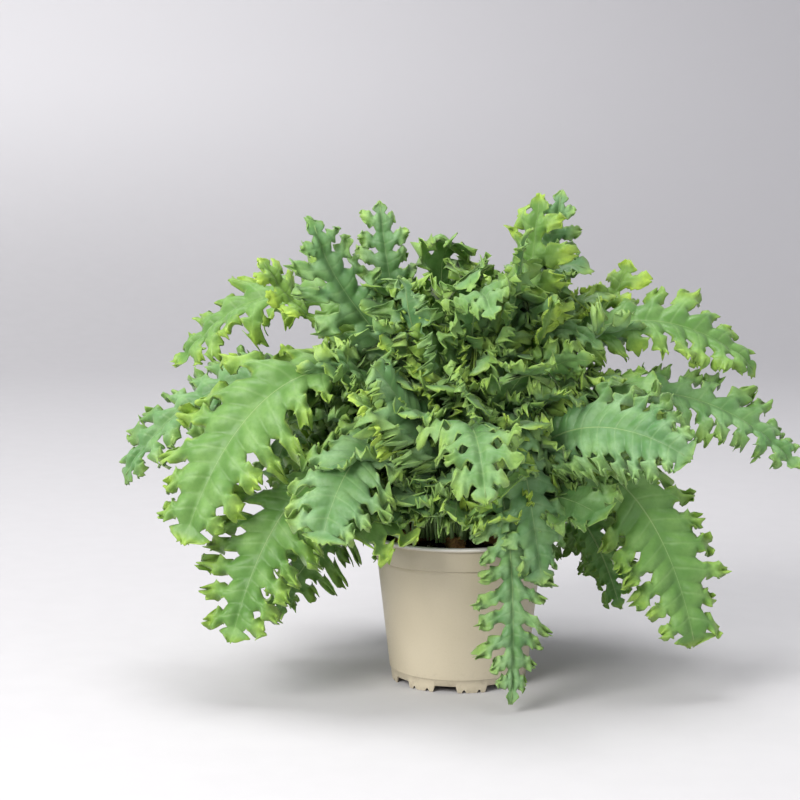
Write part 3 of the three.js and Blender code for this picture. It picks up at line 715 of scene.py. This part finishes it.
def with_midrib(leaf, cells, spine, blade_from, stipe, look, rings):
    """Adds the stipe and midrib to a leaf: one round tube that thins to the tip, half above the blade."""
    points, faces, layers, maps = leaf
    sides = 8
    x = np.linspace(-4 * MM, spine.length * 0.985, rings)
    on_blade = smooth(blade_from - 12 * MM, blade_from + 10 * MM, x)
    thinning = 1 - 0.68 * smooth(blade_from * 0.9, spine.length, x)
    radius = stipe * thinning * (1 + 0.5 * smooth(12 * MM, 0, x))
    turn = around(sides)
    y = radius[:, None] * np.cos(turn)
    z = radius[:, None] * np.sin(turn) - (radius * 0.15 * on_blade)[:, None]
    tube = spine.at(np.repeat(x[:, None], sides, 1), y, z).reshape(-1, 3)
    first, cell = len(points), 2 * cells
    for r in range(rings - 1):
        for k in range(sides):
            a, b = first + r * sides + k, first + r * sides + (k + 1) % sides
            faces.append([a, a + sides, b + sides, b])
            u0, u1, v0, v1 = k / sides, (k + 1) / sides, r / (rings - 1), (r + 1) / (rings - 1)
            maps += [(cell, u0, v0), (cell, u0, v1), (cell, u1, v1), (cell, u1, v0)]
    for start, step, v in ((first, 1, 0.0), (first + (rings - 1) * sides, -1, 1.0)):
        faces.append([start + k for k in range(sides)][::step])
        maps += [(cell, 0.5, v)] * sides
    # The cells of the texture map lie in a square grid, each with a margin.
    grid = math.ceil(math.sqrt(2 * cells + 1))
    maps = np.array(maps)
    column, row = maps[:, 0] % grid, maps[:, 0] // grid
    uv = np.stack([column + 0.04 + 0.92 * maps[:, 1], row + 0.04 + 0.92 * maps[:, 2]], 1) / grid
    total = first + len(tube)
    attributes = {
        "out": np.concatenate([layers[:, 0], np.zeros(len(tube))]),
        "vein": np.concatenate([layers[:, 1], np.full(len(tube), 0.5)]),
        "rib": np.concatenate([np.zeros(first), np.ones(len(tube))]),
        "lime": np.full(total, look["lime"]),
        "bloom": np.full(total, look["bloom"]),
    }
    return np.vstack([points, tube]).tolist(), faces, attributes, uv


SMALL_FRONDS, BATCHES = 180, 12
DOME = (150 * MM, 118 * MM, 182 * MM)  # reach of the small fronds' tips to the sides, to the front and upward
DOME_FOOT = 124 * MM


def make_small_fronds():
    """Small fronds that fill the clump, in a few pieces."""
    golden = math.radians(137.5)
    batch = SMALL_FRONDS // BATCHES
    side = math.ceil(math.sqrt(batch))
    for b in range(BATCHES):
        points, faces, maps, layers = [], [], [], {}
        for i in range(batch):
            n = i * BATCHES + b
            rng = seeded(f"small{n}")
            azimuth = n * golden
            # Higher leaves stand nearer to the middle of the clump.
            rise = math.asin(rng.uniform(-0.08, 1))
            reach = rng.uniform(0.6, 1.0)
            tip = (
                DOME[0] * reach * math.cos(rise) ** 0.8 * math.cos(azimuth),
                DOME[1] * reach * math.cos(rise) ** 0.8 * math.sin(azimuth),
                DOME_FOOT + DOME[2] * reach * math.sin(rise),
            )
            foot = rng.uniform(0.3, 0.95) * 40 * MM
            seat_x = foot * math.cos(azimuth + rng.uniform(-0.4, 0.4))
            seat = (seat_x, foot * math.sin(azimuth), POT_TOP + 3 * MM)
            bare = max(0.40, 1 - rng.uniform(48, 84) * MM / math.dist(seat, tip))
            width = rng.uniform(17, 30) * MM
            pairs, roll = int(rng.integers(3, 6)), rng.uniform(-0.9, 0.9)
            own = small_frond(f"small_frond_{n}", seat, tip, width, pairs, bare, roll)
            start = len(points)
            points += own[0]
            faces += [[v + start for v in face] for face in own[1]]
            maps.append((own[3] + np.array([i % side, i // side])) / side)
            for key, values in own[2].items():
                layers.setdefault(key, []).append(values)
        layers = {key: np.concatenate(values) for key, values in layers.items()}
        piece(f"inner_fronds_{b + 1}", points, faces, FROND, "frond", None, layers, np.vstack(maps))


def lathe(profile, angles):
    """Points and faces of a profile of (radius, height) turned about Z. A radius of 0 is one point."""
    count = len(angles)
    points, rings = [], []
    for radius, height in profile:
        heights = np.broadcast_to(height, count)
        if np.all(np.asarray(radius) == 0):
            rings.append([len(points)] * count)
            points.append((0, 0, float(heights[0])))
            continue
        rings.append(list(range(len(points), len(points) + count)))
        points += [(radius * math.cos(a), radius * math.sin(a), float(h)) for a, h in zip(angles, heights)]
    faces = []
    for low, high in zip(rings, rings[1:]):
        for k in range(count):
            quad = [low[k], low[(k + 1) % count], high[(k + 1) % count], high[k]]
            face = list(dict.fromkeys(quad))
            if len(face) > 2:
                faces.append(face)
    return points, faces


POT_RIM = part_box("pot")[1].x
POT_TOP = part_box("pot")[1].z
POT_WALL = 1.2 * MM
POT_FOOT = 46 * MM  # radius the wall's taper comes down to at the floor
LIP_PROUD = 2.6 * MM  # how far the lip stands out past the taper
COLLAR = 83.4 * MM  # height of the collar's lower edge
COLLAR_PROUD, FOOT_SHY = 0.8 * MM, 0.6 * MM  # steps out at the collar and in at the foot
FLOOR_BELOW, FLOOR_ABOVE = 5 * MM, 6.4 * MM
GAPS = 8  # in the foot, with a drain hole behind each
FIRST_GAP = -103  # degrees


def pot_radius(z):
    """Outer radius of the plain tapered wall at a height."""
    return POT_FOOT + (POT_RIM - LIP_PROUD - POT_FOOT) * z / POT_TOP


def foot_outline():
    """Directions to turn the pot's profile in, and how high the foot's lower edge is at each."""
    # Each gap: direction, half-width at the ground and half-width above in degrees, and height.
    gaps = []
    for i in range(GAPS):
        turn = FIRST_GAP + 360 / GAPS * i
        gaps.append((turn, 10.7, 9.0, 4.4 * MM))
        gaps += [(turn + 22.5 + aside, 1.9, 0.8, 2.0 * MM) for aside in (-6.5, 6.5)]
    angles = set(np.radians(np.arange(0, 360, 1.5)).tolist())
    for turn, wide, narrow, _ in gaps:
        for a in (turn - wide, turn - narrow, turn + narrow, turn + wide):
            angles.add(math.radians(a % 360))
    angles = np.array(sorted(angles))
    under = np.zeros(len(angles))
    for turn, wide, narrow, height in gaps:
        off = np.abs((np.degrees(angles) - turn + 180) % 360 - 180)
        under = np.maximum(under, height * np.clip((wide - off) / (wide - narrow), 0, 1))
    return angles, under


def pot_profile(under):
    """From the middle of the floor's underside round the foot, up the outside and down the inside."""

    def wall(z, proud=0.0):
        return pot_radius(z * MM) + proud * MM

    def above(z):
        return np.maximum(under, z * MM)

    foot = -FOOT_SHY / MM
    inside = foot - POT_WALL / MM
    profile = [
        (0, FLOOR_BELOW),
        (wall(5, inside - 0.4), FLOOR_BELOW),
        (wall(5, inside), above(4.6)),
        (wall(1, inside), above(0.6)),
        (wall(0.5, foot - 0.96), under),
        (wall(0.5, foot - 0.24), under),
        (wall(1, foot), above(0.4)),
        (wall(4.6, foot), above(4.7)),
        (wall(8.3, foot), 8.3 * MM),
        (wall(8.6, foot * 0.6), 8.6 * MM),
        (wall(8.9, foot * 0.1), 8.8 * MM),
        (wall(9.4), 9.4 * MM),
    ]
    profile += [(pot_radius(z), z) for z in np.linspace(12 * MM, COLLAR - 3 * MM, 18)]
    # The collar starts above a fine groove.
    at_collar = pot_radius(COLLAR)
    profile += [
        (at_collar - 0.1 * MM, COLLAR - 1.2 * MM),
        (at_collar - 0.6 * MM, COLLAR - 0.6 * MM),
        (at_collar - 0.6 * MM, COLLAR - 0.1 * MM),
        (at_collar + COLLAR_PROUD * 0.9, COLLAR + 0.5 * MM),
        (at_collar + COLLAR_PROUD, COLLAR + 1.1 * MM),
        (wall(90) + COLLAR_PROUD, 90 * MM),
        (wall(96.2) + COLLAR_PROUD, 96.2 * MM),
        (wall(96.8) + COLLAR_PROUD * 0.6, 96.9 * MM),
        (wall(97.2) + COLLAR_PROUD * 0.8, 97.3 * MM),
    ]
    # The rolled lip, as steps in from the rim and down from the top.
    for shy, down in ((0.5, 2.6), (0.1, 2.2), (0, 1.5), (0.1, 0.9), (0.4, 0.4), (0.9, 0.1), (1.6, 0)):
        profile.append((POT_RIM - shy * MM, POT_TOP - down * MM))
    inner_top = pot_radius(POT_TOP) - POT_WALL
    profile += [(inner_top + 0.3 * MM, POT_TOP - 0.1 * MM), (inner_top, POT_TOP - 0.5 * MM)]
    profile += [(pot_radius(z) - POT_WALL, z) for z in np.linspace(95 * MM, 9 * MM, 8)]
    return profile + [(wall(6.6, -1) - POT_WALL, FLOOR_ABOVE), (0, FLOOR_ABOVE)]


def drill(made, holes):
    """Cuts upright holes, each (x, y, radius), through a piece's floor."""
    work = bmesh.new()
    for x, y, radius in holes:
        hole = bmesh.ops.create_cone(
            work, segments=32, radius1=radius, radius2=radius, depth=12 * MM, cap_ends=True
        )
        bmesh.ops.translate(work, verts=hole["verts"], vec=(x, y, 6 * MM))
    cutter_mesh = bpy.data.meshes.new("cutter")
    work.to_mesh(cutter_mesh)
    work.free()
    cutter = bpy.data.objects.new("cutter", cutter_mesh)
    scene.collection.objects.link(cutter)
    cut = made.modifiers.new("holes", "BOOLEAN")
    cut.operation = "DIFFERENCE"
    cut.solver = "EXACT"
    cut.object = cutter
    bpy.context.view_layer.update()
    drilled = bpy.data.meshes.new_from_object(made.evaluated_get(bpy.context.evaluated_depsgraph_get()))
    made.modifiers.clear()
    old, made.data = made.data, drilled
    bpy.data.meshes.remove(old)
    bpy.data.objects.remove(cutter)


def make_pot():
    angles, under = foot_outline()
    points, faces = lathe(pot_profile(under), angles)
    made = piece("pot_shell", points, faces, POT, "pot_plastic", "pot")
    ring = 33 * MM
    holes = [(0, 0, 6 * MM)]
    for i in range(GAPS):
        a = math.radians(FIRST_GAP + 360 / GAPS * i)
        holes.append((ring * math.cos(a), ring * math.sin(a), 4.5 * MM))
    drill(made, holes)
    made.data.materials.clear()
    made.data.materials.append(POT)
    made.data.set_sharp_from_angle(angle=math.radians(50))


def rough_height(x, y, scale, seed):
    """Fractal height of rough ground."""
    return noise.fractal(Vector((x / scale, y / scale, seed)), 0.7, 2.1, 4)


def make_soil():
    """A rough, slightly domed bed with loose crumbs and a few grains of perlite on it."""
    low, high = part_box("potting_soil")
    radius, edge, crown = high.x - 0.1 * MM, POT_TOP - 7.8 * MM, POT_TOP - 4.8 * MM

    def level(share):
        return crown - (crown - edge) * share**2

    profile = [(0, low.z), (pot_radius(low.z) - POT_WALL - 0.5 * MM, low.z)]
    profile += [(radius * share, level(share)) for share in np.linspace(1, 0, 48)]
    points, faces = lathe(profile, around(150))
    moved = []
    for x, y, z in points:
        r = math.hypot(x, y)
        if z > 90 * MM and r < radius * 0.995:
            clods, grains = rough_height(x, y, 6 * MM, 3.1), rough_height(x, y, 1.9 * MM, 8.3)
            z += 1.1 * MM * clods + 0.7 * MM * grains
        moved.append((x, y, z))
    piece("soil_bed", moved, faces, SOIL, "soil", "potting_soil")
    rng = seeded("crumbs")
    for name, count, sizes, material in (
        ("soil_crumbs", 900, (0.5, 1.9), SOIL),
        ("soil_perlite", 26, (0.6, 1.3), PERLITE),
    ):
        work = bmesh.new()
        for _ in range(count):
            r, a = radius * math.sqrt(rng.uniform(0, 0.97)), rng.uniform(0, 6.283)
            x, y = r * math.cos(a), r * math.sin(a)
            size = rng.uniform(*sizes) * MM * (0.6 + 0.4 * rng.uniform())
            ball = bmesh.ops.create_icosphere(work, subdivisions=1, radius=size)
            stretch = rng.uniform(0.6, 1.5, 3)
            z = level(r / radius) + size * 0.4
            for v in ball["verts"]:
                bumpy = 1 + 0.5 * noise.noise(Vector(v.co) * 900 + Vector((x, y, 0)) * 5000)
                v.co = Vector([c * k * bumpy for c, k in zip(v.co, stretch)]) + Vector((x, y, z))
        work.verts.index_update()
        points = [tuple(v.co) for v in work.verts]
        faces = [[v.index for v in f.verts] for f in work.faces]
        work.free()
        piece(name, points, faces, material, "soil", flat=True)


SCALES = 1500


def make_rhizome():
    """The branches of the CAD solid, rounded and roughened, with a coat of thin pointed scales."""
    work = cad_mesh("rhizome")
    bmesh.ops.subdivide_edges(work, edges=work.edges, cuts=2, use_grid_fill=True)
    every_way = {"use_axis_x": True, "use_axis_y": True, "use_axis_z": True}
    for _ in range(5):
        bmesh.ops.smooth_vert(work, verts=work.verts, factor=0.4, **every_way)
    work.normal_update()
    for v in work.verts:
        v.co += v.normal * 0.6 * MM * (1 + noise.fractal(v.co * 350, 0.7, 2.0, 3))
    work.faces.ensure_lookup_table()
    work.normal_update()
    rng = seeded("scales")
    places = [(f.calc_center_median(), f.normal.copy()) for f in work.faces]
    points = [tuple(v.co) for v in work.verts]
    faces = [[v.index for v in f.verts] for f in work.faces]
    work.free()
    for i in rng.choice(len(places), SCALES):
        at, up = places[i]
        flat = Vector(rng.normal(size=3))
        flat = (flat - up * flat.dot(up)).normalized()
        across = up.cross(flat)
        length, width = rng.uniform(2.0, 4.2) * MM, rng.uniform(0.5, 0.9) * MM
        rise = rng.uniform(0.25, 0.7)
        middle = at + (flat + up * rise * 0.5) * length * 0.55
        corners = [at - across * width, at + across * width, middle + across * width * 0.7]
        corners += [at + (flat + up * rise) * length, middle - across * width * 0.7]
        faces.append(list(range(len(points), len(points) + len(corners))))
        points += [tuple(c) for c in corners]
    piece("rhizome_scaly", points, faces, RHIZOME, "rhizome", "rhizome")


STUDIO_RADIUS, STUDIO_BEND, STUDIO_WALL = 3.4, 1.5, 2.6


def make_backdrop():
    """A seamless round studio: a paper floor that bends up into a wall on all sides, beyond every light."""
    flat = STUDIO_RADIUS - STUDIO_BEND
    profile = [(0, 0.0), (0.8, 0.0), (flat, 0.0)]
    steps = 12
    for k in range(1, steps + 1):
        a = math.pi / 2 * k / steps
        profile.append((flat + STUDIO_BEND * math.sin(a), STUDIO_BEND - STUDIO_BEND * math.cos(a)))
    profile.append((STUDIO_RADIUS, STUDIO_WALL))
    # A hair below the pot's foot.
    points, faces = lathe([(r, z - 0.1 * MM) for r, z in profile], around(96))
    mesh = bpy.data.meshes.new("backdrop")
    mesh.from_pydata(points, [], faces)
    mesh.polygons.foreach_set("use_smooth", [True] * len(faces))
    mesh.materials.append(backdrop_material())
    made = bpy.data.objects.new("backdrop", mesh)
    scene.collection.objects.link(made)


FROND = frond_material()
POT = pot_material()
SOIL = soil_material()
PERLITE = perlite_material()
RHIZOME = rhizome_material()

make_backdrop()
make_pot()
make_soil()
make_rhizome()
for name in sorted(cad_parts):
    if name.startswith(("frond", "young")):
        frond(name)
make_small_fronds()
